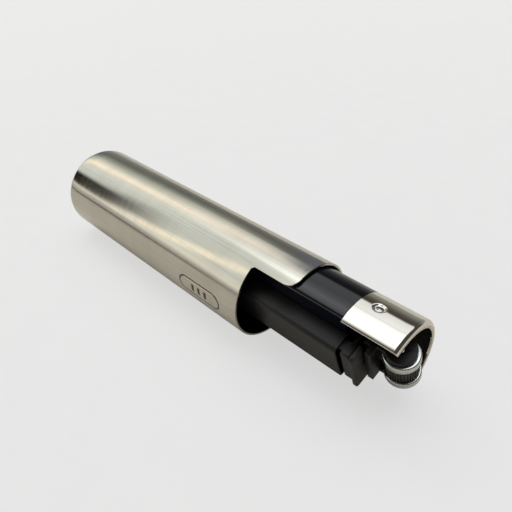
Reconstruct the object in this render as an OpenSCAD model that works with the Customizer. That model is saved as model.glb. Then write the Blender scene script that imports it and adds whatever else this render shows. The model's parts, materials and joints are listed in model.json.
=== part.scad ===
// Pocket gas lighter with a flint wheel, its body drawn part of the way out of a metal sleeve.
//
// Every piece is modelled upright: Z runs from the closed end of the sleeve to the flame,
// the thumb side (front) is -Y, and the axle of the flint wheel runs along X. lay() then
// lays the whole lighter on its side, with its length along world X and the front turned
// a little below the horizontal, as it comes to rest on a table.

/* [Sleeve] */
// Outside diameter of the metal sleeve
sleeve_d = 17.5; // [16:0.1:22]
// Length of the sleeve
sleeve_len = 61.7; // [55:0.1:80]
// Sheet thickness of the sleeve
sleeve_wall = 0.4; // [0.3:0.05:0.7]
// Outside radius where the closed end turns into the side
sleeve_end_r = 1.3; // [0.8:0.1:2.5]
// Depth of the thumb notch, from the open rim
notch_depth = 8.3; // [5:0.1:12]
// Half of the angle that the notch spans, measured from the front
notch_half_deg = 78; // [60:1:88]
// Radius of the free corners of the tongue beside the notch
tongue_corner_r = 2; // [0.5:0.1:3]
// Radius of the inner corners of the notch
notch_corner_r = 0.6; // [0.3:0.1:1.5]
// Diameter of the filling hole in the closed end
fill_hole_d = 7; // [5:0.5:10]
// Gap between the sleeve and the lighter body, on the radius
sleeve_clear = 0.35; // [0.2:0.05:0.6]
// How far the body is drawn out of the sleeve at rest
drawn_out = 8.3; // [1:0.1:20]
// How far the front is turned below the horizontal
roll_deg = 20; // [0:1:60]

/* [Emblem] */
// Length of the engraved capsule outline
emblem_len = 10.5; // [6:0.5:16]
// Width of the engraved capsule outline
emblem_w = 3.4; // [2:0.1:6]
// Width of the engraved line
emblem_line = 0.3; // [0.2:0.05:0.6]
// Depth of the engraving
emblem_depth = 0.1; // [0.05:0.01:0.2]
// Distance from the notch floor to the middle of the emblem
emblem_back = 9.2; // [7:0.1:14]
// Angle from the front to the middle of the emblem
emblem_deg = 15; // [0:1:60]
// Number of plain bars inside the outline
emblem_bars = 3; // [1:1:5]
// Length of each bar
emblem_bar_len = 1.5; // [0.8:0.1:1.8]
// Distance from bar to bar
emblem_bar_step = 1.6; // [1:0.1:1.8]

/* [Tank] */
// Wall of the fuel tank
tank_wall = 1; // [0.7:0.1:1.5]
// Length of the tank, from the base plug's lip to the hood
tank_len = 60.3; // [50:0.1:75]
// Thickness of the deck that closes the tank under the hood
deck_t = 2; // [1.5:0.1:3]
// Height of the deck above the lower edge of the hood
deck_rise = 0.2; // [0.1:0.1:0.5]
// Distance of the front flat from the tank's axis
flat_front = 1.4; // [1.2:0.1:3]
// Length of the front flat, down from the hood
flat_len = 30; // [28:0.5:36]
// Thickness of the base plug's lip
plug_lip = 1.2; // [0.8:0.1:2]
// Full-width band of the base plug's lip, above its chamfer
plug_land = 0.3; // [0.2:0.1:0.6]
// Length of the base plug's spigot inside the tank
plug_spigot = 2.5; // [1.5:0.1:4]
// Wall around the flint and valve bores inside the tank
column_wall = 0.6; // [0.5:0.05:1]
// Gap of pieces that are pressed or welded together, on the radius
press_clear = 0.02; // [0.01:0.01:0.05]
// Gap of pieces that turn or slide in one another, on the radius
run_clear = 0.05; // [0.02:0.01:0.1]

/* [Hood] */
// Length of the wind hood
hood_len = 8.9; // [7:0.1:12]
// Sheet thickness of the hood
hood_sheet = 0.4; // [0.3:0.05:0.6]
// Half of the angle that the hood leaves open, measured from its own middle
hood_half_deg = 92; // [75:1:100]
// How far the hood is turned on the neck, away from the upper side
hood_turn_deg = 16; // [0:1:20]
// Width of the hood's turned-in rim
hood_rim_w = 1.15; // [0.8:0.05:1.8]
// Gap between the hood and the tank's neck, on the radius
hood_clear = 0.05; // [0.02:0.01:0.1]
// Height of the neck wall that the hood grips
neck_h = 4.2; // [3.5:0.1:5]
// Thickness of the neck wall
neck_wall = 0.9; // [0.6:0.1:1.2]
// Distance of the neck wall's free edges behind the axis
neck_back = 1.3; // [1:0.1:2]
// Diameter of the locking dimples
dimple_d = 2.2; // [1.6:0.1:2.6]
// Depth of the locking dimples
dimple_depth = 0.25; // [0.1:0.05:0.3]
// Height of the dimples above the lower edge of the hood
dimple_up = 3; // [2:0.1:4]
// Angle from the middle of the hood's opening to each dimple
dimple_deg = 128; // [115:1:140]

/* [Rail and button] */
// Width of the rail beside the thumb
rail_w = 7.9; // [6.5:0.1:9]
// Distance of the rail's front face from the axis
rail_front = 4.75; // [4.2:0.05:6]
// Length of the rail
rail_len = 26.5; // [22:0.5:28]
// Height of the rail's mouth above the lower edge of the hood
rail_over = 0.5; // [0.3:0.1:0.5]
// Thickness of the rail's side and front walls at its mouth
mouth_wall = 0.35; // [0.3:0.05:0.5]
// Thickness of the rail's back wall, against the tank's flat
rail_back_wall = 0.4; // [0.3:0.05:0.6]
// Depth of the rail's hollow
mouth_depth = 10; // [8:0.5:14]
// Radius of the rail's long front edges
rail_edge_r = 0.6; // [0.3:0.1:1]
// Diameter of the four pegs that fix the rail
peg_d = 1.6; // [1:0.1:2]
// Length of the pegs
peg_len = 0.6; // [0.4:0.1:0.7]
// Distance from the rail's lower end to the first peg
peg_first = 3; // [2:0.5:5]
// Distance from peg to peg along the rail
peg_pitch = 9; // [6:0.5:10]
// Distance of the pegs from the middle of the rail, clear of the flint bore
peg_side = 2.5; // [2.4:0.1:2.8]
// Gap between the button and the rail's hollow
button_clear = 0.1; // [0.05:0.05:0.2]
// Gap between the rail's mouth and the button's block at rest
button_gap = 0.5; // [0.3:0.1:0.8]
// Height of the button's block
block_h = 1.75; // [1.5:0.05:2.2]
// Height of the groove under the button's thumb flange
groove_h = 0.3; // [0.2:0.05:0.5]
// Depth of that groove
groove_depth = 0.3; // [0.2:0.05:0.5]
// Thickness of the button's thumb flange
flange_t = 0.75; // [0.6:0.05:1.2]
// Width of the button's thumb flange
flange_w = 8.2; // [7:0.1:9]
// Thickness of the button's walls
button_wall = 0.7; // [0.5:0.05:0.9]
// Length of the button's guide legs
leg_len = 5.5; // [4:0.5:8]

/* [Gas rocker] */
// Distance of the rocker's pivot behind the tank's axis
pivot_back = 1; // [0.8:0.1:1.4]
// Height of the pivot above the deck
pivot_up = 1.35; // [1.3:0.05:1.5]
// Thickness of the rocker
rocker_t = 0.7; // [0.5:0.05:0.8]
// Width of each tine
tine_w = 0.7; // [0.5:0.05:1]
// Diameter of the rocker's trunnions
trunnion_d = 1; // [0.8:0.1:1.2]
// Length of each trunnion
trunnion_len = 1; // [0.8:0.1:1.2]
// Thickness of the ears that carry the trunnions
ear_t = 1.1; // [0.8:0.1:1.3]
// Gap between pieces that only pass one another
pass_clear = 0.3; // [0.2:0.05:0.4]

/* [Burner valve] */
// Distance of the burner behind the tank's axis
burner_back = 5.3; // [5:0.1:5.6]
// Diameter of the valve body
burner_d = 3.2; // [2.8:0.1:3.4]
// Length of the valve body
burner_len = 8.8; // [8:0.1:11]
// Height of the valve body above the deck
burner_proud = 0.3; // [0.1:0.1:0.4]
// Diameter of the moving nozzle's stem
stem_d = 1.1; // [0.9:0.05:1.3]
// Diameter of the nozzle's collar
collar_d = 2.5; // [2.2:0.1:2.8]
// Thickness of the nozzle's collar
collar_t = 0.5; // [0.3:0.05:0.7]
// Length of the nozzle's tip above its collar
nozzle_tip = 1.9; // [1.5:0.1:3]
// Diameter of the gas jet
jet_d = 0.4; // [0.3:0.05:0.5]
// Diameter of the spring chamber in the valve body
chamber_d = 2.2; // [2:0.05:2.3]
// Wire diameter of the valve springs
valve_wire = 0.2; // [0.15:0.01:0.25]
// Thickness of the valve body's floor
burner_floor = 0.8; // [0.6:0.1:1.2]
// Length of the stem's guide at the top of the valve body
burner_roof = 2; // [1.5:0.1:2.5]
// Thickness of the valve's rubber seal
seal_t = 0.8; // [0.5:0.1:1]
// Thickness of the foot on the nozzle's stem
stem_foot_t = 0.6; // [0.4:0.1:0.8]
// Turns of the valve spring
burner_turns = 5; // [3:1:7]
// Thickness of the filter disc
filter_t = 0.8; // [0.5:0.1:1.2]
// Outside diameter of the wick tube
wick_d = 1.8; // [1.4:0.1:2]

/* [Filling valve] */
// Outside diameter of the filling valve's body
refill_d = 3.8; // [3.4:0.1:4.4]
// Length of the filling valve's body
refill_len = 6.8; // [6:0.1:9]
// Diameter of the mouth that takes a gas can's nozzle
refill_mouth_d = 2.5; // [2.2:0.1:3]
// Depth of that mouth
refill_mouth_depth = 2; // [1.5:0.1:3]
// Diameter of the filling valve's stem
refill_stem_d = 1; // [0.8:0.05:1.2]
// How far the filling valve sits inside the base, so that the base stays flat
refill_inset = 0.2; // [0.1:0.1:0.4]
// Length of the neck between the mouth and the valve's chamber
refill_neck = 0.8; // [0.6:0.1:1.2]
// Thickness of the filling valve's seal
refill_seal_t = 0.5; // [0.4:0.1:0.8]
// Thickness of the head on the filling valve's stem
refill_head_t = 0.6; // [0.4:0.1:0.8]
// Thickness of the chamber's roof
refill_roof = 0.6; // [0.4:0.1:0.8]
// Turns of the filling valve's spring
refill_turns = 4; // [3:1:5]

/* [Flint unit] */
// Distance of the flint and the wheel behind the tank's axis
flint_back = 0.85; // [0.8:0.05:1.2]
// Outside diameter of the flint tube
tube_d = 3.5; // [3.2:0.1:3.6]
// Bore of the flint tube
tube_bore = 2.6; // [2.4:0.05:2.8]
// Length of the flint tube below its fork
tube_len = 43; // [36:0.5:48]
// Diameter of the flint
flint_d = 2.4; // [2.2:0.05:2.6]
// Length of the flint
flint_len = 4; // [3:0.1:5]
// Wire diameter of the flint spring
flint_wire = 0.3; // [0.2:0.02:0.35]
// Turns of the flint spring
flint_turns = 16; // [12:1:20]
// Length of the plug that holds the spring in the tube
spring_plug_len = 2; // [1.5:0.1:3]
// How far the plug sits inside the tube
spring_plug_in = 1; // [0.5:0.1:2]
// Height of the fork's block
fork_h = 1.9; // [1.5:0.1:2.2]
// Thickness of each fork arm
arm_t = 0.6; // [0.5:0.05:0.8]
// Diameter of the round hub at the end of each arm
hub_d = 4.4; // [2.8:0.1:4.6]
// Width of each fork arm where it leaves the block
arm_w = 3; // [2.4:0.1:3.6]
// How far the lip of the fork's block stands in front of it, over the button's flange
fork_lip = 1.4; // [0.5:0.1:2]

/* [Flint wheel] */
// Height of the axle above the lower edge of the hood
wheel_up = 7.7; // [7.3:0.1:8.5]
// Diameter of the two thumb rings
ring_d = 5.4; // [4.8:0.1:5.6]
// Thickness of each thumb ring
ring_t = 1.3; // [0.8:0.05:1.5]
// Radius of the rings' rounded rims
ring_edge_r = 0.4; // [0.2:0.05:0.6]
// Diameter of the spark wheel over its teeth
spark_d = 4.8; // [4.2:0.1:5]
// Width of the spark wheel
spark_w = 3.2; // [2.6:0.1:3.6]
// Teeth of the spark wheel
spark_teeth = 36; // [24:2:48]
// Depth of the teeth
tooth_depth = 0.22; // [0.1:0.02:0.3]
// Diameter of the axle
axle_d = 0.9; // [0.7:0.05:1.1]
// Gap between the rings and the fork arms
wheel_gap = 0.15; // [0.1:0.05:0.25]

/* [Hidden] */
$fn = 64;
eps = 0.01;
// A length that is sure to pass right through any piece
far = 60;

sleeve_r = sleeve_d / 2;
core_r = sleeve_r - sleeve_wall - sleeve_clear;
notch_z = sleeve_len - notch_depth;
notch_front = sleeve_r * cos(notch_half_deg);

plug_z = sleeve_wall + drawn_out;
tank_z = plug_z + plug_lip;
plug_chamfer = min(sleeve_end_r - sleeve_wall, plug_lip - plug_land);
hood_z = tank_z + tank_len;
hood_end_z = hood_z + hood_len;
deck_z = hood_z + deck_rise;
flat_z = hood_z - flat_len;
chamber_r = core_r - tank_wall;
chamber_top_z = deck_z - deck_t;

hood_in_r = core_r - hood_sheet;
neck_r = hood_in_r - hood_clear;
dimple_z = hood_z + dimple_up;

rail_end_z = hood_z + rail_over;
rail_z = rail_end_z - rail_len;
mouth_w = rail_w - 2 * mouth_wall;
mouth_front = rail_front - mouth_wall;
mouth_back = flat_front + rail_back_wall;
block_w = mouth_w - 2 * button_clear;
block_front = mouth_front - button_clear;
block_back = mouth_back + button_clear;
block_z = rail_end_z + button_gap;
flange_z = block_z + block_h;

wheel_z = hood_z + wheel_up;
wheel_half_w = spark_w / 2 + ring_t;
arm_in = wheel_half_w + wheel_gap;
arm_out = arm_in + arm_t;
tube_r = tube_d / 2;
tube_bore_r = tube_bore / 2;
pivot_z = deck_z + pivot_up;
rocker_top_z = pivot_z + rocker_t / 2;
tine_in = tube_r + pass_clear;
tine_out = tine_in + tine_w;
ear_in = tine_out + pass_clear;
ear_out = ear_in + ear_t;
ear_top_z = pivot_z + trunnion_d / 2 + run_clear + rocker_t;
fork_z = ear_top_z + run_clear;
fork_top_z = fork_z + fork_h;
fork_front = -flint_back + arm_w / 2 + rocker_t / 2;
fork_back = -flint_back - arm_w / 2 - rocker_t / 2;
tube_z = fork_z - tube_len;
flint_top_z = wheel_z - spark_d / 2 - run_clear;
flint_z = flint_top_z - flint_len;
spring_plug_z = tube_z + spring_plug_in;

burner_z = deck_z + burner_proud - burner_len;
burner_r = burner_d / 2;
collar_z = rocker_top_z + 2 * run_clear;
stem_foot_z = burner_z + burner_floor + seal_t + run_clear;
burner_chamber_top_z = burner_z + burner_len - burner_roof;
wick_z = plug_z + plug_lip + plug_spigot + tank_wall;
wick_end_z = burner_z - filter_t;

refill_z = plug_z + refill_inset;
refill_chamber_z = refill_z + refill_mouth_depth + refill_neck;
refill_chamber_d = refill_mouth_d - 2 * run_clear;
refill_head_z = refill_chamber_z + refill_seal_t + run_clear;
refill_spring_z = refill_head_z + refill_head_t;
refill_spring_end_z = refill_z + refill_len - refill_roof;

overall_len = max(hood_end_z, wheel_z + ring_d / 2);

// Lays an upright piece on its side, with the middle of the lighter's length at the origin
module lay() {
    translate([-overall_len / 2, 0, sleeve_r])
        rotate([roll_deg, 0, 0])
            rotate([0, 90, 0])
                children();
}

// Moves a piece forward from the axis, and up from the closed end
module at(front, z) {
    translate([0, -front, z]) children();
}

// A box between two distances in front of the axis and two heights, centred on the width
module slab(w, front_a, front_b, za, zb) {
    translate([-w / 2, -front_b, za]) cube([w, front_b - front_a, zb - za]);
}

// One box on each side: from w_in to w_out off the middle
module side_slabs(w_in, w_out, front_a, front_b, za, zb) {
    for (side = [-1, 1])
        translate([side * (w_in + w_out) / 2, 0, 0])
            slab(w_out - w_in, front_a, front_b, za, zb);
}

// A round bar along the width, from -half_len to half_len
module cross_bar(r, half_len) {
    rotate([0, 90, 0]) cylinder(r = r, h = 2 * half_len, center = true);
}

// Outline of a box seen from above, with its two front corners rounded
module front_rounded(w, front_a, front_b, r) {
    translate([-w / 2, -front_b + r]) square([w, front_b - front_a - r]);
    translate([-w / 2 + r, -front_b]) square([w - 2 * r, r + eps]);
    for (side = [-1, 1])
        translate([side * (w / 2 - r), -front_b + r]) circle(r);
}

// A closed wire helix: mean radius, wire diameter, bottom, height and turns
module coil_spring(r, wire, z, h, turns) {
    steps = 10;
    sides = 6;
    n = turns * steps;
    rise = h - wire;
    function ring_pt(i, j) =
        let (a = 360 * i / steps, b = 360 * j / sides, rr = r + wire / 2 * cos(b))
        [rr * cos(a), rr * sin(a), z + wire / 2 + rise * i / n + wire / 2 * sin(b)];
    points = [for (i = [0:n], j = [0:sides - 1]) ring_pt(i, j)];
    walls = [for (i = [0:n - 1], j = [0:sides - 1], half = [0, 1])
        let (a = i * sides + j, b = i * sides + (j + 1) % sides)
        half == 0 ? [a, a + sides, b + sides] : [a, b + sides, b]];
    first = [for (j = [0:sides - 1]) j];
    last = [for (j = [sides - 1:-1:0]) n * sides + j];
    polyhedron(points, concat(walls, [first], [last]), convexity = 4);
}

// ---- sleeve ----

// Half section of a cup: outer radius, bottom height and corner radius
module cup_section(r, z, corner) {
    translate([0, z + corner]) square([r, sleeve_len - z - corner + (z > 0 ? 1 : 0)]);
    translate([0, z]) square([r - corner, corner + eps]);
    translate([r - corner, z + corner]) circle(corner);
}

// Side view of the notch, looking along the axle, with its rounded corners
module notch_outline() {
    difference() {
        translate([-far, notch_z]) square([far - notch_front, far]);
        translate([-notch_front - notch_corner_r, notch_z - eps])
            square([notch_corner_r + eps, notch_corner_r + eps]);
    }
    translate([-notch_front - notch_corner_r, notch_z + notch_corner_r]) circle(notch_corner_r);
    difference() {
        translate([-notch_front - eps, sleeve_len - tongue_corner_r])
            square([tongue_corner_r + eps, tongue_corner_r + 1]);
        translate([-notch_front + tongue_corner_r, sleeve_len - tongue_corner_r])
            circle(tongue_corner_r);
    }
}

module capsule(len, w) {
    square([len - w, w], center = true);
    for (side = [-1, 1])
        translate([side * (len - w) / 2, 0]) circle(w / 2);
}

// Engraved outline with plain bars inside, cut into the front of the sleeve
module emblem_cutter() {
    intersection() {
        rotate([0, 0, -emblem_deg])
            translate([0, 0, notch_z - emblem_back])
                rotate([90, 0, 0])
                    linear_extrude(far)
                        rotate(90) {
                            difference() {
                                capsule(emblem_len, emblem_w);
                                capsule(emblem_len - 2 * emblem_line, emblem_w - 2 * emblem_line);
                            }
                            for (i = [0:emblem_bars - 1])
                                translate([(i - (emblem_bars - 1) / 2) * emblem_bar_step, 0])
                                    square([2 * emblem_line, emblem_bar_len], center = true);
                        }
        difference() {
            cylinder(r = sleeve_r + 1, h = sleeve_len);
            translate([0, 0, -1]) cylinder(r = sleeve_r - emblem_depth, h = sleeve_len + 2);
        }
    }
}

module sleeve() {
    color([0.72, 0.71, 0.67]) lay()
        difference() {
            rotate_extrude($fn = 96)
                intersection() {
                    difference() {
                        cup_section(sleeve_r, 0, sleeve_end_r);
                        cup_section(sleeve_r - sleeve_wall, sleeve_wall, sleeve_end_r - sleeve_wall);
                    }
                    square([sleeve_r + 1, sleeve_len]);
                }
            rotate([90, 0, 90]) linear_extrude(far, center = true) notch_outline();
            translate([0, 0, -1]) cylinder(d = fill_hole_d, h = sleeve_wall + 2);
            emblem_cutter();
        }
}

// ---- tank ----

// The four pegs behind the rail, or the holes that take them
module pegs(d, len) {
    for (side = [-1, 1], step = [0, 1])
        translate([side * peg_side, -flat_front, rail_z + peg_first + step * peg_pitch])
            rotate([-90, 0, 0])
                translate([0, 0, -eps]) cylinder(d = d, h = len + eps);
}

// Everything in front of the flat, above the height where the flat starts
module flat_cutter(front, z) {
    slab(far, front, far, z, z + 2 * far);
}

// The deck's round step and the wall behind the flame, which the hood grips in two holes
module neck() {
    difference() {
        translate([0, 0, hood_z - eps]) cylinder(r = neck_r, h = deck_rise + neck_h + eps);
        translate([0, 0, deck_z]) cylinder(r = neck_r - neck_wall, h = neck_h + 1);
        slab(far, -neck_back, far, deck_z, deck_z + far);
        for (side = [-1, 1])
            translate([0, 0, dimple_z])
                rotate([90, 0, side * dimple_deg])
                    cylinder(d = dimple_d, h = far);
    }
}

module tank() {
    color([0.04, 0.045, 0.07]) lay()
        difference() {
            union() {
                difference() {
                    union() {
                        translate([0, 0, tank_z]) cylinder(r = core_r, h = tank_len, $fn = 96);
                        rotate([0, 0, hood_turn_deg]) neck();
                    }
                    flat_cutter(flat_front, flat_z);
                    difference() {
                        translate([0, 0, tank_z - 1])
                            cylinder(r = chamber_r, h = chamber_top_z - tank_z + 1);
                        flat_cutter(flat_front - tank_wall, flat_z - tank_wall);
                        at(-flint_back, tube_z - tank_wall)
                            cylinder(r = tube_r + run_clear + column_wall, h = far);
                        at(-burner_back, wick_end_z - tank_wall)
                            cylinder(r = burner_r + column_wall, h = far);
                    }
                }
                side_slabs(ear_in, ear_out, -pivot_back - trunnion_d, -pivot_back + trunnion_d,
                    deck_z - eps, ear_top_z);
            }
            at(-flint_back, tube_z - 2 * run_clear) cylinder(r = tube_r + run_clear, h = far);
            at(-burner_back, wick_end_z) cylinder(r = burner_r + press_clear, h = far);
            at(-burner_back, wick_end_z - far / 2)
                cylinder(d = wick_d + 2 * press_clear, h = far);
            at(-pivot_back, pivot_z)
                cross_bar(trunnion_d / 2 + run_clear, ear_out + pass_clear);
            pegs(peg_d + 2 * press_clear, peg_len + press_clear);
        }
}

module base_plug() {
    color([0.05, 0.05, 0.06]) lay()
        difference() {
            rotate_extrude()
                polygon([
                    [0, plug_z], [core_r - plug_chamfer, plug_z], [core_r, plug_z + plug_chamfer],
                    [core_r, tank_z], [chamber_r - press_clear, tank_z],
                    [chamber_r - press_clear, tank_z + plug_spigot], [0, tank_z + plug_spigot]
                ]);
            translate([0, 0, plug_z - 1])
                cylinder(d = refill_d + 2 * press_clear, h = plug_lip + plug_spigot + 2);
        }
}

// ---- filling valve ----

module refill_body() {
    color([0.78, 0.64, 0.36]) lay()
        difference() {
            translate([0, 0, refill_z]) cylinder(d = refill_d, h = refill_len);
            translate([0, 0, refill_z - 1]) cylinder(d = refill_mouth_d, h = refill_mouth_depth + 1);
            translate([0, 0, refill_z])
                cylinder(d = refill_stem_d + 2 * run_clear, h = refill_len + 1);
            translate([0, 0, refill_chamber_z])
                cylinder(d = refill_chamber_d, h = refill_spring_end_z - refill_chamber_z);
        }
}

module refill_seal() {
    color([0.1, 0.1, 0.1]) lay()
        translate([0, 0, refill_chamber_z])
            difference() {
                cylinder(d = refill_chamber_d - 2 * press_clear, h = refill_seal_t);
                translate([0, 0, -1]) cylinder(d = refill_stem_d + 2 * run_clear, h = 3);
            }
}

module refill_stem() {
    color([0.85, 0.85, 0.82]) lay() {
        translate([0, 0, refill_z + refill_mouth_depth + 2 * run_clear])
            cylinder(d = refill_stem_d, h = refill_head_z - refill_z - refill_mouth_depth);
        translate([0, 0, refill_head_z])
            cylinder(d = refill_chamber_d - 4 * run_clear, h = refill_head_t);
    }
}

module refill_spring() {
    color([0.7, 0.7, 0.7]) lay()
        coil_spring((refill_chamber_d - valve_wire) / 2 - 2 * run_clear, valve_wire,
            refill_spring_z, refill_spring_end_z - refill_spring_z, refill_turns);
}

// ---- burner valve ----

module wick_tube() {
    color([0.9, 0.9, 0.88]) lay()
        at(-burner_back, wick_z)
            difference() {
                cylinder(d = wick_d, h = wick_end_z - wick_z);
                translate([0, 0, -1]) cylinder(d = wick_d / 2, h = far * 2);
            }
}

module filter_disc() {
    color([0.95, 0.95, 0.92]) lay()
        at(-burner_back, wick_end_z) cylinder(r = burner_r, h = filter_t);
}

module burner_body() {
    color([0.8, 0.66, 0.38]) lay()
        at(-burner_back, 0)
            difference() {
                translate([0, 0, burner_z]) cylinder(r = burner_r, h = burner_len);
                translate([0, 0, burner_z - 1]) cylinder(d = jet_d * 2, h = burner_len);
                translate([0, 0, burner_z + burner_floor])
                    cylinder(d = chamber_d, h = burner_chamber_top_z - burner_z - burner_floor);
                translate([0, 0, burner_chamber_top_z - eps])
                    cylinder(d = stem_d + 2 * run_clear, h = burner_roof + 1);
            }
}

module burner_seal() {
    color([0.1, 0.1, 0.1]) lay()
        at(-burner_back, burner_z + burner_floor)
            difference() {
                cylinder(d = chamber_d - 2 * press_clear, h = seal_t);
                translate([0, 0, -1]) cylinder(d = jet_d, h = seal_t + 2);
            }
}

module burner_nozzle() {
    color([0.82, 0.68, 0.4]) lay()
        at(-burner_back, 0)
            difference() {
                union() {
                    translate([0, 0, stem_foot_z])
                        cylinder(d = stem_d, h = collar_z + collar_t + nozzle_tip - stem_foot_z);
                    translate([0, 0, stem_foot_z])
                        cylinder(d = chamber_d - 4 * run_clear, h = stem_foot_t);
                    translate([0, 0, collar_z]) cylinder(d = collar_d, h = collar_t);
                }
                translate([0, 0, stem_foot_z + stem_foot_t]) cylinder(d = jet_d, h = far);
            }
}

module burner_spring() {
    color([0.7, 0.7, 0.7]) lay()
        at(-burner_back, 0)
            coil_spring((chamber_d - valve_wire) / 2 - run_clear, valve_wire,
                stem_foot_z + stem_foot_t, burner_chamber_top_z - stem_foot_z - stem_foot_t,
                burner_turns);
}

// ---- hood ----

// Half section of the hood's sheet, with its turned-in rim and a rounded shoulder
module hood_section() {
    shoulder = 2 * hood_sheet;
    difference() {
        union() {
            translate([core_r - hood_rim_w, hood_end_z - hood_sheet])
                square([hood_rim_w - shoulder, hood_sheet]);
            translate([core_r - hood_sheet, hood_z])
                square([hood_sheet, hood_len - shoulder]);
            intersection() {
                translate([core_r - shoulder, hood_end_z - shoulder]) circle(shoulder);
                translate([core_r - shoulder, hood_end_z - shoulder]) square(shoulder);
            }
        }
        translate([core_r - shoulder, hood_end_z - shoulder]) circle(shoulder - hood_sheet);
    }
}

module hood() {
    color([0.85, 0.84, 0.82]) lay()
        rotate([0, 0, hood_turn_deg]) difference() {
            union() {
                rotate([0, 0, hood_half_deg - 90])
                    rotate_extrude(angle = 360 - 2 * hood_half_deg, $fn = 96) hood_section();
                for (side = [-1, 1])
                    translate([0, 0, dimple_z])
                        rotate([90, 0, side * dimple_deg])
                            translate([0, 0, hood_in_r - dimple_depth])
                                cylinder(d = dimple_d - 4 * press_clear, h = dimple_depth + hood_sheet / 2);
            }
            for (side = [-1, 1])
                translate([0, 0, dimple_z])
                    rotate([90, 0, side * dimple_deg])
                        translate([0, 0, core_r - dimple_depth])
                            cylinder(d = dimple_d - 2 * hood_sheet, h = 2);
        }
}

// ---- rail and button ----

module rail() {
    color([0.07, 0.07, 0.07]) lay()
        difference() {
            union() {
                translate([0, 0, rail_z])
                    linear_extrude(rail_len)
                        front_rounded(rail_w, flat_front, rail_front, rail_edge_r);
                pegs(peg_d, peg_len);
            }
            slab(mouth_w, mouth_back, mouth_front, rail_end_z - mouth_depth, rail_end_z + 1);
        }
}

module gas_button() {
    // The boss that bears on the rocker's tip
    boss_front = block_front - button_wall - pass_clear / 2;
    boss_back = boss_front - rocker_t;
    groove_z = flange_z - groove_h;
    color([0.06, 0.06, 0.06]) lay()
        difference() {
            union() {
                translate([0, 0, flange_z])
                    linear_extrude(flange_t)
                        front_rounded(flange_w, block_back, rail_front, rail_edge_r);
                translate([0, 0, block_z])
                    linear_extrude(block_h - groove_h)
                        front_rounded(block_w, block_back, block_front, rail_edge_r / 2);
                slab(block_w - 2 * groove_depth, block_back, block_front - groove_depth,
                    groove_z - eps, flange_z + eps);
                side_slabs(block_w / 2 - button_wall, block_w / 2, block_back, block_front - rail_edge_r,
                    block_z - leg_len, block_z + eps);
            }
            difference() {
                slab(block_w - 2 * button_wall - 2 * groove_depth, -far / 2, block_front - button_wall,
                    block_z - eps, flange_z);
                slab(rocker_t * 4, boss_back, boss_front, collar_z, far * 2);
            }
        }
}

// ---- gas rocker ----

// The tines pass on both sides of the flint tube. The tip reaches into the button, and the
// two pads at the back reach under the nozzle's collar.
module rocker() {
    za = pivot_z - rocker_t / 2;
    pad_back = burner_back + pass_clear * 2;
    pad_front = burner_back - pass_clear * 2;
    bridge_back = tube_r + pass_clear - flint_back;
    tip_front = block_front - button_wall - pass_clear / 2;
    color([0.12, 0.12, 0.12]) lay() {
        side_slabs(tine_in, tine_out, -pad_back, bridge_back + rocker_t, za, rocker_top_z);
        side_slabs(stem_d / 2 + pass_clear / 2, tine_out, -pad_back, -pad_front, za, rocker_top_z);
        slab(2 * tine_out, bridge_back, bridge_back + rocker_t, za, rocker_top_z);
        slab(3 * rocker_t, bridge_back, tip_front, za, rocker_top_z);
        for (side = [-1, 1])
            at(-pivot_back, pivot_z)
                translate([side * (tine_out + trunnion_len / 2 - eps), 0, 0])
                    cross_bar(trunnion_d / 2, trunnion_len / 2 + eps);
    }
}

// ---- flint unit ----

module flint_holder() {
    color([0.08, 0.08, 0.09]) lay()
        difference() {
            union() {
                at(-flint_back, tube_z) cylinder(r = tube_r, h = tube_len + eps);
                slab(2 * arm_out, fork_back, fork_front, fork_z, fork_top_z);
                slab(2 * arm_out, fork_front - eps, fork_front + fork_lip,
                    flange_z + flange_t + pass_clear, fork_top_z);
                side_slabs(arm_in, arm_out, -flint_back - arm_w / 2, -flint_back + arm_w / 2,
                    fork_z, wheel_z);
                at(-flint_back, wheel_z)
                    for (side = [-1, 1])
                        translate([side * (arm_in + arm_out) / 2, 0, 0])
                            cross_bar(hub_d / 2, arm_t / 2);
            }
            at(-flint_back, tube_z - 1) cylinder(r = tube_bore_r, h = far * 2);
            at(-flint_back, wheel_z) cross_bar(axle_d / 2 + press_clear, far / 2);
        }
}

module spring_plug() {
    color([0.8, 0.66, 0.38]) lay()
        at(-flint_back, spring_plug_z)
            cylinder(r = tube_bore_r - press_clear, h = spring_plug_len);
}

module flint_spring() {
    z = spring_plug_z + spring_plug_len;
    color([0.72, 0.72, 0.72]) lay()
        at(-flint_back, 0)
            coil_spring(tube_bore_r - flint_wire / 2 - 2 * run_clear, flint_wire, z, flint_z - z,
                flint_turns);
}

module flint() {
    color([0.35, 0.34, 0.32]) lay()
        at(-flint_back, flint_z) cylinder(d = flint_d, h = flint_len);
}

// ---- flint wheel ----

// Straight teeth: the outline steps between the tip and the root radius
module toothed_outline() {
    n = 2 * spark_teeth;
    polygon([for (i = [0:n - 1])
        let (r = spark_d / 2 - (i % 2) * tooth_depth, a = 360 * i / n)
        [r * cos(a), r * sin(a)]]);
}

module spark_wheel() {
    color([0.3, 0.3, 0.31]) lay()
        at(-flint_back, wheel_z)
            rotate([0, 90, 0])
                difference() {
                    linear_extrude(spark_w, center = true) toothed_outline();
                    cylinder(d = axle_d + 2 * run_clear, h = far, center = true);
                }
}

// One ring, standing on its inner face, with both rims rounded
module thumb_ring() {
    r = ring_d / 2;
    bore_r = axle_d / 2 + run_clear;
    e = ring_edge_r;
    rotate_extrude() {
        translate([bore_r, 0]) square([r - e - bore_r, ring_t]);
        translate([bore_r, e]) square([r - bore_r, ring_t - 2 * e]);
        translate([r - e, e]) circle(e);
        translate([r - e, ring_t - e]) circle(e);
    }
}

module thumb_ring_upper() {
    color([0.8, 0.8, 0.78]) lay()
        at(-flint_back, wheel_z)
            rotate([0, -90, 0])
                translate([0, 0, spark_w / 2]) thumb_ring();
}

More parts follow.
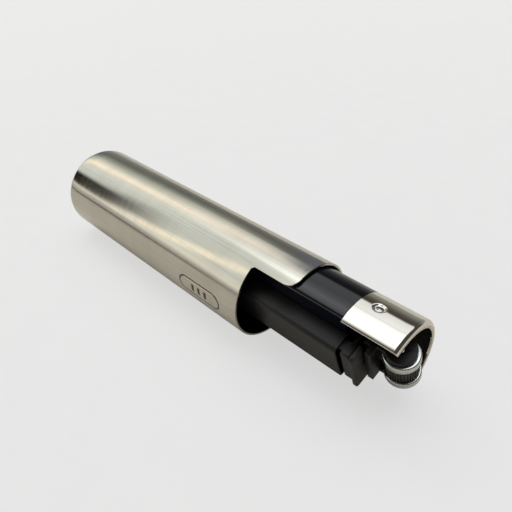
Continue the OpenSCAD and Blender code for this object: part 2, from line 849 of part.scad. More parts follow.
module thumb_ring_lower() {
    color([0.8, 0.8, 0.78]) lay()
        at(-flint_back, wheel_z)
            rotate([0, 90, 0])
                translate([0, 0, spark_w / 2]) thumb_ring();
}

module axle() {
    color([0.75, 0.74, 0.7]) lay()
        at(-flint_back, wheel_z) cross_bar(axle_d / 2, arm_out + press_clear * 2);
}

sleeve();
tank();
base_plug();
refill_body();
refill_seal();
refill_stem();
refill_spring();
wick_tube();
filter_disc();
burner_body();
burner_seal();
burner_nozzle();
burner_spring();
hood();
rail();
gas_button();
rocker();
flint_holder();
spring_plug();
flint_spring();
flint();
spark_wheel();
thumb_ring_upper();
thumb_ring_lower();
axle();
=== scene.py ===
# %% [markdown]
# # A pocket gas lighter, half drawn out of its metal sleeve
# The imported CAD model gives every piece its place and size. This script keeps that frame
# and gives each piece the shape and finish that the eye expects: satin nickel, mirror
# nickel, glossy and matte black mouldings, zinc-plated rings and a dark knurled wheel.

# %% Load the frame
import json
import bmesh
import bpy
import numpy as np
from mathutils import Matrix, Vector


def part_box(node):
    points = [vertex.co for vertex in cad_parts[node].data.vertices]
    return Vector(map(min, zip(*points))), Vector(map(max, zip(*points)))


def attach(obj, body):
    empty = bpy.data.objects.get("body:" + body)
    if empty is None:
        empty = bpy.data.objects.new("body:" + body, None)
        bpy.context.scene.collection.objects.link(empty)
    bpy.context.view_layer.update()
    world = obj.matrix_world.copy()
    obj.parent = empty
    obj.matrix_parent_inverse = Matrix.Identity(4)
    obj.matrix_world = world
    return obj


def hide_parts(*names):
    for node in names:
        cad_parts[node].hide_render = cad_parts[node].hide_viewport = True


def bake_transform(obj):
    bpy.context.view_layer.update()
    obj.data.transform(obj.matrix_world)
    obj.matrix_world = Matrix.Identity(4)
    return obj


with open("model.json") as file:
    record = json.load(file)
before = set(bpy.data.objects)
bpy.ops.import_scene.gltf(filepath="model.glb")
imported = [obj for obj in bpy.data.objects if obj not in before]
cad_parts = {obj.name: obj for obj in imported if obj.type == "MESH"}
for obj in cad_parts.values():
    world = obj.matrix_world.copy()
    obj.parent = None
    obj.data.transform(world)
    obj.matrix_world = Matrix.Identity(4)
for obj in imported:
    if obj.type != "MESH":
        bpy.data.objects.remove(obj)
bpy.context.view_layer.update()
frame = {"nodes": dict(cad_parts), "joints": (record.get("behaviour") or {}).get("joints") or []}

MM = 0.001
JOINTS = {joint["name"]: joint for joint in frame["joints"]}

# %% [markdown]
# ## The lighter's own directions
# The lighter lies on its side with its thumb side turned a little down. It is far easier
# to think of it upright: s runs in millimetres from the closed end of the sleeve to the
# flame, "front" is towards the thumb, and "upper" is along the flint wheel's axle, towards
# the side that faces up here. The axle's direction is read from the record's own joint.

# %% Upright millimetres to the frame
ALONG = np.array([1.0, 0.0, 0.0])
UPPER = np.array(JOINTS["wheel_spin"]["axis"])
FRONT = np.cross(ALONG, UPPER)
SLEEVE_LO, SLEEVE_HI = (np.array(corner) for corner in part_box("sleeve"))
HEEL = np.array([SLEEVE_LO[0], 0, SLEEVE_HI[2] / 2])


def place(front, upper, s):
    """Frame position in metres: the heel, plus s along the lighter, front and upper."""
    front, upper, s = np.broadcast_arrays(front, upper, s)
    return HEEL + MM * (front[..., None] * FRONT + upper[..., None] * UPPER + s[..., None] * ALONG)


def upright(position):
    """The inverse of place, for one position: its front, upper and s in millimetres."""
    offset = (np.array(position) - HEEL) / MM
    return offset @ FRONT, offset @ UPPER, offset @ ALONG


WHEEL_FRONT, _, WHEEL_S = upright(JOINTS["wheel_spin"]["pos_m"])
print("flint wheel at front", round(WHEEL_FRONT, 2), "s", round(WHEEL_S, 2))

# %% [markdown]
# ## One way to make a mesh
# Nearly every piece here is a grid: an outline with its points in order, repeated along a
# path or around an axis. The grid's points are worked out as one numpy array, and quads
# join each point to its neighbours. An outline that closes on itself, carried round a full
# turn, closes the piece; otherwise a cap closes each end.

# %% Mesh helpers
def volume(mesh):
    """Signed volume: a sixth of the sum of a . (b x c) over the triangles a, b, c."""
    mesh.calc_loop_triangles()
    corners = np.empty(len(mesh.loop_triangles) * 3, np.int32)
    mesh.loop_triangles.foreach_get("vertices", corners)
    co = np.empty(len(mesh.vertices) * 3)
    mesh.vertices.foreach_get("co", co)
    a, b, c = co.reshape(-1, 3)[corners].reshape(-1, 3, 3).transpose(1, 0, 2)
    return np.einsum("ij,ij->", a, np.cross(b, c)) / 6


def finished(name, mesh, sharp_deg=32):
    """Links the mesh as an object at the origin, smooth but for edges over sharp_deg."""
    piece = bpy.data.objects.new(name, mesh)
    bpy.context.scene.collection.objects.link(piece)
    mesh.shade_smooth()
    mesh.set_sharp_from_angle(angle=np.radians(sharp_deg))
    return piece


# %% Grid to mesh
def grid_piece(name, points, close_rows=True, close_columns=True, caps=False, uv=None, marks=None):
    """A mesh of quads between neighbouring points of a rows x columns x 3 array.

    uv is a rows x columns x 2 array. marks maps a name to a rows x columns array.
    """
    rows, columns = points.shape[:2]
    number = np.arange(rows * columns).reshape(rows, columns)
    ends = [number[:, 0].tolist(), number[::-1, -1].tolist()] if caps else []
    if close_rows:
        number = np.vstack([number, number[:1]])
    if close_columns:
        number = np.hstack([number, number[:, :1]])
    corners = [number[:-1, :-1], number[:-1, 1:], number[1:, 1:], number[1:, :-1]]
    faces = np.stack(corners, axis=-1).reshape(-1, 4).tolist() + ends
    mesh = bpy.data.meshes.new(name)
    mesh.from_pydata(points.reshape(-1, 3).tolist(), [], faces)
    if volume(mesh) < 0:
        mesh.flip_normals()
    loops = np.empty(len(mesh.loops), np.int32)
    mesh.loops.foreach_get("vertex_index", loops)
    if uv is not None:
        layer = mesh.uv_layers.new(name="surface")
        layer.data.foreach_set("uv", uv.reshape(-1, 2)[loops].astype(np.float32).ravel())
    for mark, values in (marks or {}).items():
        layer = mesh.attributes.new(mark, "FLOAT", "POINT")
        layer.data.foreach_set("value", np.asarray(values, np.float32).ravel())
    return finished(name, mesh)


# %% Fitting a piece to the frame
def fit(piece, body, material, node):
    """Puts a finish on the piece, hangs it on its CAD body and hides the CAD node it stands for.
    """
    piece.data.materials.clear()
    piece.data.materials.append(material)
    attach(piece, body)
    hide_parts(node)
    print(piece.name, "on", body, len(piece.data.polygons), "faces")


# %% [markdown]
# ## Outlines
# Real corners are never perfectly sharp, and a small radius is what catches the light. So
# each outline starts as a few corner points, and one function turns every corner into a
# short curve.

# %% Rounded outlines
def unit(v):
    return v / np.linalg.norm(v, axis=-1, keepdims=True)


def soften(corners, radius, steps=6):
    """Each corner p of a closed outline becomes the curve (1-t)^2 a + 2t(1-t) p + t^2 b.

    a and b lie one radius away from p, towards the corners before and after it.
    """
    p = np.array(corners, float)
    r = np.broadcast_to(np.array(radius, float), len(p))[:, None]
    a = p + r * unit(np.roll(p, 1, axis=0) - p)
    b = p + r * unit(np.roll(p, -1, axis=0) - p)
    t = np.linspace(0, 1, steps)[:, None, None]
    curve = (1 - t) ** 2 * a + 2 * t * (1 - t) * p + t**2 * b
    return curve.transpose(1, 0, 2).reshape(-1, 2)


def inset(outline, by):
    """Moves an outline inwards: each point goes by along the normal of its neighbours' chord."""
    chord = unit(np.roll(outline, -1, axis=0) - np.roll(outline, 1, axis=0))
    normal = np.stack([-chord[:, 1], chord[:, 0]], axis=-1)
    x, y = outline.T
    turn = np.sign(np.sum(x * np.roll(y, -1) - y * np.roll(x, -1)))
    return outline + by * turn * normal


def box_outline(front_a, front_b, half):
    """Corners of a box's cross-section, in front and upper."""
    return [(front_a, -half), (front_b, -half), (front_b, half), (front_a, half)]


def revolve(outline, front, s, columns):
    """Turns an outline of (radius, height) about the axle's direction, through front and s.

    front + radius cos(angle) and s + radius sin(angle), at the outline's height along it.
    """
    angle = np.linspace(0, 2 * np.pi, columns, endpoint=False)[None, :]
    radius, height = (outline[:, k, None] for k in (0, 1))
    return place(front + radius * np.cos(angle), height, s + radius * np.sin(angle))


# %% [markdown]
# ## Materials
# One small function adds a node, sets it and links it. Colours are written as sRGB hex,
# the way a paint or plating chart gives them, and turned to linear light in one place.
# Patterns read Object coordinates, which are metres here, so a feature of n millimetres
# has a noise scale of 1000 / n.

# %% Material helpers
def linear(hex_colour):
    """sRGB hex to linear RGBA: c / 12.92 below 0.04045, else ((c + 0.055) / 1.055) ^ 2.4."""
    c = np.array([int(hex_colour[i:i + 2], 16) for i in (1, 3, 5)]) / 255
    c = np.where(c <= 0.04045, c / 12.92, ((c + 0.055) / 1.055) ** 2.4)
    return (*c, 1.0)


def add(tree, kind, inputs=None, **settings):
    """One node. An input takes a constant, an output to link, or a node for its first output."""
    made = tree.nodes.new("ShaderNode" + kind)
    for key, value in settings.items():
        setattr(made, key, value)
    for key, value in (inputs or {}).items():
        if isinstance(value, bpy.types.Node):
            value = value.outputs[0]
        if isinstance(value, bpy.types.NodeSocket):
            tree.links.new(value, made.inputs[key])
        else:
            made.inputs[key].default_value = value
    return made


# %% A finish from two noises
NOISE_RANGE = {"From Min": 0.3, "From Max": 0.7}
CLOUD_SIZE = 12


def pattern(tree, size, stretch=(1, 1, 1), detail=3):
    """Noise with features of size mm, drawn out along X, Y or Z by stretch."""
    at = add(tree, "TexCoord").outputs["Object"]
    scale = [1 / (size * MM * s) for s in stretch]
    spread = add(tree, "Mapping", {"Vector": at, "Scale": scale})
    return add(tree, "TexNoise", {"Vector": spread, "Scale": 1, "Detail": detail})


def surface(name, colour, second, metallic, roughness, size, bump, stretch=(1, 1, 1), **constants):
    """A finish whose colour and roughness wander between two values, over a fine bump.

    size is the pattern's size and bump its height, both in millimetres.
    """
    material = bpy.data.materials.new(name)
    material.use_nodes = True
    tree = material.node_tree
    tree.nodes.clear()
    cloud = pattern(tree, size * CLOUD_SIZE, stretch)
    grain = pattern(tree, size, stretch)
    share = add(tree, "MapRange", {"Value": cloud, **NOISE_RANGE})
    mixed = add(tree, "Mix", {0: share, 6: linear(colour), 7: linear(second)}, data_type="RGBA")
    relief = add(tree, "Bump", {"Height": grain, "Distance": bump * MM, "Strength": 1.0})
    dullness = add(tree, "MapRange", {"Value": grain, **NOISE_RANGE,
                                      "To Min": roughness[0], "To Max": roughness[1]})
    shader = add(tree, "BsdfPrincipled", {
        "Base Color": mixed.outputs[2], "Metallic": metallic, "Normal": relief,
        "Roughness": dullness, **constants})
    add(tree, "OutputMaterial", {"Surface": shader})
    print("finish", name)
    return material, tree, shader


# %% [markdown]
# ### Satin nickel
# The sleeve is deep-drawn steel, plated with nickel and brushed around its length. The
# brushing leaves fine rings that spread each highlight along the lighter and keep it sharp
# across. Anisotropy does most of that; its direction follows the UV map, whose first axis
# runs along the lighter. A few longer draw marks run lengthwise. Nickel is a slightly warm
# metal, near 60 percent reflective. The etched emblem is duller and darker, from a mark
# stored on the mesh.

# %% Satin nickel
SATIN, tree, shader = surface("satin_brushed_nickel", "#C4C2BA", "#BEBBB2", 1.0, (0.1, 0.15),
                              0.35, 0.0006, stretch=(1, 14, 14), Anisotropic=0.5)
along_sleeve = add(tree, "Tangent", direction_type="UV_MAP", uv_map="surface")
tree.links.new(along_sleeve.outputs[0], shader.inputs["Tangent"])

# %% Draw marks and etching on the nickel
draw_marks = pattern(tree, 0.3, stretch=(60, 1, 1), detail=2)
scored = add(tree, "MapRange", {"Value": draw_marks, "From Min": 0.5, "From Max": 0.75,
                                "To Max": 0.16})
etched = add(tree, "Attribute", attribute_name="etched").outputs["Fac"]
coat = shader.inputs["Base Color"].links[0].from_socket
for mask, colour in ((scored, "#6E6A62"), (etched, "#2E2B26")):
    coat = add(tree, "Mix", {0: mask, 6: coat, 7: linear(colour)}, data_type="RGBA").outputs[2]
tree.links.new(coat, shader.inputs["Base Color"])

# %% [markdown]
# ### Mirror nickel
# The hood is the same metal, polished to a mirror. Its turned-in rim is left as it came
# from the press tool, so it is a little duller. Its inside is painted a dull near-black:
# painted shade, for the dark inside of the hood.

# %% Mirror, rim and painted shade inside
MIRROR, _, _ = surface("mirror_polished_nickel", "#E4E1DC", "#DAD7D0", 1.0, (0.03, 0.06),
                       0.8, 0.00005)
RIM, _, _ = surface("pressed_nickel_rim", "#CFC8BE", "#BEB6AA", 1.0, (0.24, 0.34), 0.25, 0.0008)
# The hood's inside gets a dull near-black finish: painted shade for the dark inside of the hood.
PAINTED_SHADE, _, _ = surface("painted_shade_nickel", "#17130F", "#0B0908", 0.3, (0.5, 0.8), 0.3, 0.004)

# %% [markdown]
# ### Plastics
# The tank is glossy moulded nylon of a blue-black. The rail, button and fork are a glass
# filled grade with a fine spark-eroded texture, which scatters light into a soft grey
# sheen; its pits trap some of that light, so its specular level is a little low. The unseen
# valve pieces are natural white acetal and black rubber.

# %% Plastics and rubber
GLOSSY, _, _ = surface("glossy_blue_black_nylon", "#0A0D1A", "#070912", 0.0, (0.08, 0.14),
                       1.6, 0.0006)
MATTE, _, _ = surface("spark_eroded_black_nylon", "#121213", "#0D0D0E", 0.0, (0.4, 0.52),
                      0.12, 0.004, **{"Specular IOR Level": 0.4})
ACETAL, _, _ = surface("natural_acetal", "#D9D8D2", "#CFCEC7", 0.0, (0.35, 0.5), 0.3, 0.001)
RUBBER, _, _ = surface("nitrile_rubber", "#161616", "#0E0E0E", 0.0, (0.65, 0.8), 0.2, 0.002)

# %% [markdown]
# ### Small metals
# The thumb rings and axle are bright zinc-plated steel, tumbled and a little uneven. The
# spark wheel is file-hard steel, dark from its heat treatment. The valve is turned brass,
# the springs are drawn stainless wire, and the flint is a dull ferrocerium rod.

# %% Small metals
ZINC, _, _ = surface("bright_zinc_plate", "#CFD4D3", "#B4BAB9", 1.0, (0.14, 0.28), 0.5, 0.0015)
HARD_STEEL, _, _ = surface("hardened_file_steel", "#55534F", "#3A3835", 1.0, (0.3, 0.5),
                           0.15, 0.004)
BRASS, _, _ = surface("turned_brass", "#B8935A", "#A5824C", 1.0, (0.2, 0.35), 0.2, 0.001,
                      stretch=(1, 6, 6))
WIRE, _, _ = surface("drawn_spring_wire", "#A9A9A6", "#8F8F8C", 1.0, (0.25, 0.4), 0.15, 0.001)
FLINT, _, _ = surface("ferrocerium", "#4B4640", "#38342F", 0.8, (0.55, 0.75), 0.2, 0.006)

# %% [markdown]
# ## The sleeve
# One sheet-metal cup with a thumb notch. Its skin is a closed loop in section: out across
# the closed end, round the heel, up the outside, over the rim, down the inside and back to
# the filling hole. Only the rim's height changes around the sleeve, so the notch is one
# function of the distance around, and rows below the notch stay level. Grid lines crowd
# together where the notch turns and where the emblem is etched. The emblem is a plain
# capsule with three bars. The UV map's first axis runs along the sleeve and, over the
# closed end, along the radius, so the brushing turns about the sleeve's axis everywhere.

# %% Sleeve sizes
SLEEVE_R = HEEL[2] / MM
SLEEVE_LEN = (SLEEVE_HI[0] - SLEEVE_LO[0]) / MM
SHEET, HEEL_R, HOLE_R = 0.4, 1.3, 3.5
NOTCH_S = SLEEVE_LEN - 8.3
NOTCH_SIDE = np.radians(78) * SLEEVE_R
INNER_R, TONGUE_R = 0.6, 2.0
LEVEL_S = NOTCH_S - 1.2


def rim_height(around):
    """Height of the rim: the notch floor, a quarter circle up, a wall, a quarter circle over."""
    d = np.abs(around) - NOTCH_SIDE
    inner = NOTCH_S + INNER_R - np.sqrt(np.clip(INNER_R**2 - (d + INNER_R) ** 2, 0, None))
    outer = SLEEVE_LEN - TONGUE_R + np.sqrt(np.clip(TONGUE_R**2 - (d - TONGUE_R) ** 2, 0, None))
    return np.select([d < -INNER_R, d < 0, d < TONGUE_R], [NOTCH_S, inner, outer], SLEEVE_LEN)


# %% Emblem
EMBLEM_LEN, EMBLEM_W, EMBLEM_LINE, EMBLEM_DEPTH = 10.5, 3.4, 0.3, 0.1
EMBLEM_S = NOTCH_S - 9.2
EMBLEM_AROUND = np.radians(15) * SLEEVE_R
BAR_STEP, BAR_HALF, ETCH_EDGE = 1.6, 0.75, 0.1


def etching(around, s):
    """1 in the etched lines: a capsule's outline, and three bars across its middle."""
    u, v = around - EMBLEM_AROUND, s - EMBLEM_S
    straight = (EMBLEM_LEN - EMBLEM_W) / 2
    from_edge = np.hypot(np.maximum(np.abs(v) - straight, 0), u) - EMBLEM_W / 2
    outline = np.abs(from_edge + EMBLEM_LINE / 2) - EMBLEM_LINE / 2
    nearest = np.clip(np.round(v / BAR_STEP), -1, 1) * BAR_STEP
    bars = np.maximum(np.abs(v - nearest) - EMBLEM_LINE, np.abs(u) - BAR_HALF)
    return np.clip(0.5 - np.minimum(outline, bars) / ETCH_EDGE, 0, 1)


# %% Where the sleeve's grid lines run
half_turn = np.pi * SLEEVE_R
quarter = np.linspace(0, np.pi / 2, 8)
turns = np.concatenate([NOTCH_SIDE - INNER_R + INNER_R * np.sin(quarter),
                        NOTCH_SIDE + TONGUE_R - TONGUE_R * np.cos(quarter)])
HAIRLINE = 0.004
wall = [NOTCH_SIDE - HAIRLINE, NOTCH_SIDE + HAIRLINE]
around = np.unique(np.round(np.concatenate([
    np.linspace(-half_turn, half_turn, 145)[:-1], turns, -turns, wall, -np.array(wall),
    EMBLEM_AROUND + np.linspace(-2, 2, 45)]), 4))[None, :]

# %% Sleeve section, from the filling hole out, up, over the rim and back down inside
BURR = 0.07
bow = np.linspace(0, np.pi / 2, 9)[1:]
level = np.unique(np.round(np.concatenate([
    np.linspace(HEEL_R, LEVEL_S, 22), EMBLEM_S + np.linspace(-5.5, 5.5, 121)]), 3))[1:]
heel_rows = {}
for side, reach, out, up in (("outside", HEEL_R, np.sin(bow), np.cos(bow)),
                             ("inside", HEEL_R - SHEET, np.cos(bow), np.sin(bow))):
    heel_rows[side] = list(zip(SLEEVE_R - HEEL_R + reach * out, HEEL_R - reach * up, 0 * bow))
rows = np.array(
    [(r, 0, 0) for r in np.linspace(HOLE_R, SLEEVE_R - HEEL_R, 6)]
    + heel_rows["outside"]
    + [(SLEEVE_R, s, 0) for s in level]
    + [(SLEEVE_R, LEVEL_S, f) for f in np.linspace(0.12, 1, 8)]
    + [(SLEEVE_R - BURR, LEVEL_S, 1), (SLEEVE_R - SHEET + BURR, LEVEL_S, 1)]
    + [(SLEEVE_R - SHEET, LEVEL_S, f) for f in np.linspace(1, 0, 5)]
    + [(SLEEVE_R - SHEET, s, 0) for s in np.linspace(LEVEL_S, HEEL_R, 8)[1:]]
    + heel_rows["inside"]
    + [(HOLE_R, SHEET, 0)])

# %% Sleeve skin
radius, base, share = (rows[:, k, None] for k in range(3))
trim = BURR * ((share == 1) & ((radius == SLEEVE_R) | (radius == SLEEVE_R - SHEET)))
height = base + share * (rim_height(around) - LEVEL_S) - trim
etch = etching(around, height) * (radius == SLEEVE_R)
angle = around / SLEEVE_R
r = radius - EMBLEM_DEPTH * etch
skin = place(r * np.cos(angle), r * np.sin(angle), height)
across = np.broadcast_to(around, height.shape)
sleeve = grid_piece("sleeve_shell", skin, uv=np.stack([height - radius, across], axis=-1) / 100,
                    marks={"etched": etch})
fit(sleeve, "sleeve", SATIN, "sleeve")

# %% [markdown]
# ## The wind hood
# A C-shaped sheet around the back of the flame, with a rim that turns in at the top and a
# round dimple on each side that locks it into the neck. Its section is a closed outline of
# radius and height; the outline is carried around the lighter's axis, over the angle that
# the hood covers, and drawn in a little at both free edges so that they look sheared and
# deburred. A dimple lowers the sheet inside a small circle.

# %% Hood sizes
HOOD_LO, HOOD_HI = (np.array(corner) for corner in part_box("hood"))
HOOD_S = (HOOD_LO[0] - HEEL[0]) / MM
HOOD_END = (HOOD_HI[0] - HEEL[0]) / MM
HOOD_R, HOOD_SHEET, RIM_W, SHOULDER = 8.0, 0.4, 1.15, 0.8
OPEN_MIDDLE, OPEN_HALF = -16, 92
DIMPLE_S, DIMPLE_R, DIMPLE_DEPTH = HOOD_S + 3, 1.05, 0.25
WALL_SHARE, MARK_SHARE, MARK_HEIGHT = 0.35, 0.4, 0.25
DIMPLES = (OPEN_MIDDLE + 128, OPEN_MIDDLE + 360 - 128)


def ease(x):
    """0 below 0, 1 above 1, and 3x^2 - 2x^3 between."""
    x = np.clip(x, 0, 1)
    return x * x * (3 - 2 * x)


def dimple(angle_deg, s):
    """How far the sheet is pushed in: a flat floor, a round wall and a small centre mark."""
    pushed = 0
    for middle in DIMPLES:
        d = np.hypot(np.radians(angle_deg - middle) * HOOD_R, s - DIMPLE_S) / DIMPLE_R
        pushed = pushed + ease((1 - d) / WALL_SHARE) - MARK_HEIGHT * ease(1 - d / MARK_SHARE)
    return DIMPLE_DEPTH * pushed


# %% Hood skin
STRAIGHT_END = HOOD_END - SHOULDER
side_s = np.unique(np.round(np.concatenate([
    np.linspace(HOOD_S + 0.05, STRAIGHT_END, 12), DIMPLE_S + np.linspace(-1.2, 1.2, 21)]), 3))
bend = np.linspace(0, np.pi / 2, 10)[1:]
outside = np.stack([np.full(len(side_s), HOOD_R), side_s], axis=-1)
shoulder = np.stack([HOOD_R - SHOULDER + SHOULDER * np.cos(bend),
                     STRAIGHT_END + SHOULDER * np.sin(bend)], axis=-1)
lip = np.array([(HOOD_R - RIM_W + 0.1, HOOD_END), (HOOD_R - RIM_W, HOOD_END - 0.1),
                (HOOD_R - RIM_W, HOOD_END - 0.3), (HOOD_R - RIM_W + 0.1, HOOD_END - HOOD_SHEET)])
under = np.stack([HOOD_R - SHOULDER + (SHOULDER - HOOD_SHEET) * np.sin(bend),
                  STRAIGHT_END + (SHOULDER - HOOD_SHEET) * np.cos(bend)], axis=-1)
inside = np.stack([np.full(len(side_s), HOOD_R - HOOD_SHEET), side_s[::-1]], axis=-1)
foot = np.array([(HOOD_R - HOOD_SHEET + 0.05, HOOD_S), (HOOD_R - 0.05, HOOD_S)])
section = np.concatenate([outside, shoulder, lip, under, inside[1:], foot])

# %% Hood carried round, with its free edges drawn in
FREE = 0.12
first, last = OPEN_MIDDLE + OPEN_HALF, OPEN_MIDDLE + 360 - OPEN_HALF
tuck = np.linspace(0, np.pi / 2, 4)
ease_in = np.degrees(FREE * (1 - np.cos(tuck)) / HOOD_R)
dense = [middle + np.linspace(-9.5, 9.5, 25) for middle in DIMPLES]
middle_angles = np.unique(np.round(np.concatenate([
    np.linspace(first + 1.5, last - 1.5, 70), *dense]), 3))
angles = np.concatenate([first + ease_in, middle_angles, last - ease_in[::-1]])
draw_in = np.zeros(len(angles))
draw_in[:4] = FREE * (1 - np.sin(tuck))
draw_in[-4:] = draw_in[3::-1]
sections = section[:, None, :] + draw_in[None, :, None] * (inset(section, 1) - section)[:, None, :]
hood_angle = angles[None, :]
r, s = sections[..., 0], sections[..., 1]
SLIVER = 0.001
on_side = ((section[:, 0, None] >= HOOD_R - HOOD_SHEET - SLIVER)
           & (section[:, 1, None] < STRAIGHT_END + SLIVER))
r = r - on_side * dimple(hood_angle, s)
turn = np.radians(hood_angle)
hood = grid_piece("hood_shell", place(r * np.cos(turn), r * np.sin(turn), s),
                  close_columns=False, caps=True)
fit(hood, "core", MIRROR, "hood")

# %% Rim and painted shade inside, by the section's rows
hood.data.materials.append(RIM)
hood.data.materials.append(PAINTED_SHADE)
row_count, column_count = sections.shape[:2]
row_of_face = np.repeat(np.arange(row_count), column_count - 1)
rim_from = len(outside) + len(shoulder) - 2
rim_to = rim_from + 3
# The rows inside the hood take the near-black finish, which is painted shade.
painted_shade_from = len(outside) + len(shoulder) + 2
finish = np.zeros(len(hood.data.polygons), np.int32)
finish[:len(row_of_face)] = np.select(
    [(row_of_face >= rim_from) & (row_of_face < rim_to),
     (row_of_face >= painted_shade_from) & (row_of_face < row_count - 2)], [1, 2], 0)
hood.data.polygons.foreach_set("material_index", finish)

# %% [markdown]
# ## The flint wheel
# Two plated thumb rings with rounded rims grip the thumb, and a straight-knurled spark
# wheel turns between them. The rings are plain outlines revolved about the axle. The spark
# wheel's radius falls and rises once per tooth.

# %% Thumb rings
RING_R, RING_T, BORE_R, SPARK_R, SPARK_HALF = 2.7, 1.3, 0.5, 2.4, 1.6
RECESS_R, RECESS = 2.0, 0.12
ring_section = soften([(BORE_R, 0), (RING_R, 0), (RING_R, RING_T), (RECESS_R, RING_T),
                       (RECESS_R - 0.1, RING_T - RECESS), (BORE_R, RING_T - RECESS)],
                      [0.04, 0.25, 0.3, 0.06, 0.05, 0.04], steps=7)
for side, name in ((1, "thumb_ring_upper"), (-1, "thumb_ring_lower")):
    outline = ring_section * (1, side) + (0, side * SPARK_HALF)
    ring = grid_piece(name + "_turned", revolve(outline, WHEEL_FRONT, WHEEL_S, 96))
    fit(ring, "wheel", ZINC, name)

# %% Spark wheel
TEETH, TOOTH, CHAMFER = 36, 0.22, 0.15
tooth_angle = np.linspace(0, 2 * np.pi, TEETH * 8, endpoint=False)[None, :]
saw = np.abs((tooth_angle * TEETH / (2 * np.pi)) % 1 * 2 - 1)
spark_section = np.array([
    (BORE_R, -SPARK_HALF), (SPARK_R - CHAMFER, -SPARK_HALF), (SPARK_R, -SPARK_HALF + CHAMFER),
    (SPARK_R, -0.5), (SPARK_R, 0.5), (SPARK_R, SPARK_HALF - CHAMFER),
    (SPARK_R - CHAMFER, SPARK_HALF), (BORE_R, SPARK_HALF)])
radius, w = (spark_section[:, k, None] for k in (0, 1))
radius = radius - TOOTH * ease(saw * 1.4 - 0.2) * (radius > 1)
spark = grid_piece("spark_wheel_knurled", place(
    WHEEL_FRONT + radius * np.cos(tooth_angle), w, WHEEL_S + radius * np.sin(tooth_angle)))
fit(spark, "wheel", HARD_STEEL, "spark_wheel")

# %% Axle
AXLE_R, AXLE_HALF = 0.45, 3.69
axle_section = np.array([(0.02, -AXLE_HALF), (0.3, -AXLE_HALF + 0.02), (0.41, -AXLE_HALF + 0.08),
                         (AXLE_R, -AXLE_HALF + 0.18), (AXLE_R, AXLE_HALF - 0.18),
                         (0.41, AXLE_HALF - 0.08), (0.3, AXLE_HALF - 0.02), (0.02, AXLE_HALF)])
axle_rings = revolve(axle_section, WHEEL_FRONT, WHEEL_S, 40)
axle = grid_piece("axle_pin", np.swapaxes(axle_rings, 0, 1), close_columns=False, caps=True)
fit(axle, "flint_unit", ZINC, "axle")

# %% [markdown]
# ## Springs
# A coil spring is a circle carried along a helix. The wire's centre climbs slowly over the
# first and last turn, so that the ends close up, and evenly between.

# %% Coils
STEPS_A_TURN, WIRE_SIDES = 24, 10


def spring(node, turns, radius, wire, front, held_by, pushed_by):
    """A circle of the wire's radius carried along a helix between the CAD spring's ends.
    """
    corners = [np.array(corner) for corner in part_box(node)]
    low, high = ((corner[0] - HEEL[0]) / MM for corner in corners)
    t = np.linspace(0, turns, turns * STEPS_A_TURN + 1)[None, :]
    climb = np.clip(t - 1, 0, turns - 2) * (high - low - 3 * wire) / (turns - 2)
    closed = (np.clip(t, 0, 1) + np.clip(t - turns + 1, 0, 1)) * wire
    centre = low + wire / 2 + climb + closed
    turn = 2 * np.pi * t
    ring = np.linspace(0, 2 * np.pi, WIRE_SIDES, endpoint=False)[:, None]
    reach = radius + wire / 2 * np.cos(ring)
    piece = grid_piece(node + "_coil", place(
        front + reach * np.cos(turn), reach * np.sin(turn), centre + wire / 2 * np.sin(ring)),
        close_columns=False, caps=True)
    piece.data.materials.append(WIRE)
    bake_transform(piece)
    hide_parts(node)
    print(piece.name, "between", held_by, "and", pushed_by, len(piece.data.polygons), "faces")


BURNER_FRONT = -5.3
spring("flint_spring", 20, 1.05, 0.3, WHEEL_FRONT, "flint_unit", "flint_slug")
spring("refill_spring", 5, 1.0, 0.2, 0, "core", "filler")
spring("burner_spring", 6, 0.95, 0.2, BURNER_FRONT, "core", "nozzle")

# %% [markdown]
# ## The rail
# A hollow moulding on the tank's flat, which guides the thumb button. It is an outline
# carried along the lighter, turned over a soft edge at the mouth, and carried back down
# inside as a smaller outline.

# %% Rail
RAIL_LO, RAIL_HI = (np.array(corner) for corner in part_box("rail"))
RAIL_S, RAIL_END = (RAIL_LO[0] - HEEL[0]) / MM, (RAIL_HI[0] - HEEL[0]) / MM
FLAT, RAIL_FRONT, RAIL_HALF = 1.4, 4.75, 3.95
MOUTH_WALL, MOUTH_DEPTH, BACK_WALL = 0.35, 10, 0.4
outer = soften(box_outline(FLAT, RAIL_FRONT, RAIL_HALF), [0.1, 0.75, 0.75, 0.1], 9)
inner = soften(box_outline(FLAT + BACK_WALL, RAIL_FRONT - MOUTH_WALL, RAIL_HALF - MOUTH_WALL),
               [0.08, 0.4, 0.4, 0.08], 9)
EDGE, INNER_EDGE = 0.12, 0.08
stations = [(inset(outer, EDGE), RAIL_S), (outer, RAIL_S + EDGE), (outer, RAIL_END - EDGE),
            (inset(outer, 0.035), RAIL_END - 0.035), (inset(outer, EDGE), RAIL_END),
            (inset(inner, -INNER_EDGE), RAIL_END), (inner, RAIL_END - INNER_EDGE),
            (inner, RAIL_END - MOUTH_DEPTH)]
rail_points = np.stack([place(o[:, 0], o[:, 1], s) for o, s in stations], axis=1)
rail = grid_piece("rail_moulding", rail_points, close_columns=False, caps=True)
fit(rail, "core", MATTE, "rail")

# %% [markdown]
# ## The gas button
# A block that slides in the rail's mouth, a groove, and a wider flange for the thumb. The
# block is open at the back, where the lever's tip reaches in, so its outline is a U.

# %% Gas button
def loft(name, outline, start, end, edge=0.08):
    """An outline carried from start to end, drawn in by edge at both ends, and capped."""
    stations = [(inset(outline, edge), start), (inset(outline, edge * 0.3), start + edge * 0.3),
                (outline, start + edge), (outline, end - edge),
                (inset(outline, edge * 0.3), end - edge * 0.3), (inset(outline, edge), end)]
    points = np.stack([place(o[:, 0], o[:, 1], s) for o, s in stations], axis=1)
    return grid_piece(name, points, close_columns=False, caps=True)


